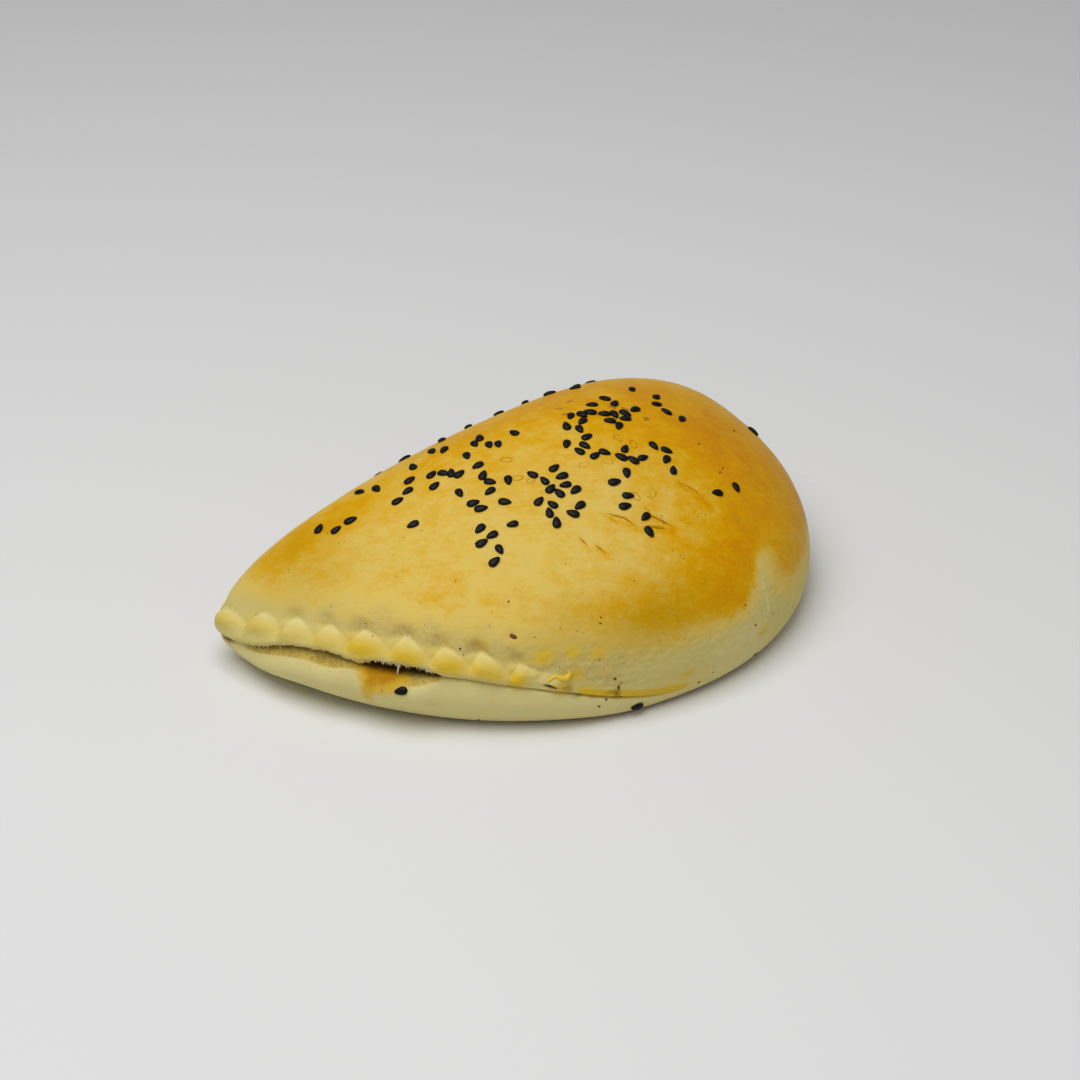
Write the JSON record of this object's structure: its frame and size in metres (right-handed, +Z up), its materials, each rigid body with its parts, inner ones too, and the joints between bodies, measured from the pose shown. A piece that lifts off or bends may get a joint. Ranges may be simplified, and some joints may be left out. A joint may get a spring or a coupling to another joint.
{
  "type": "calzone",
  "caption": "Baked calzone: a half-moon of golden bread dough, crimped along its curved edge, with a split seam and black sesame seeds scattered over the crown.",
  "frame": {"origin": "centre of the bounding box in plan, on the plane that the flat underside rests on", "axes": "+X along the fold from the pointed tip to the blunt end, +Y towards the folded back, +Z up"},
  "size_m": [0.1714, 0.1148, 0.0534],
  "materials": {
    "crust": "baked bread crust with an egg wash, satin on the golden crown and matt on the pale base",
    "seed": "black sesame seed hulls, satin"
  },
  "bodies": {
    "root": {"calzone": "crust"}
  },
  "joints": []
}
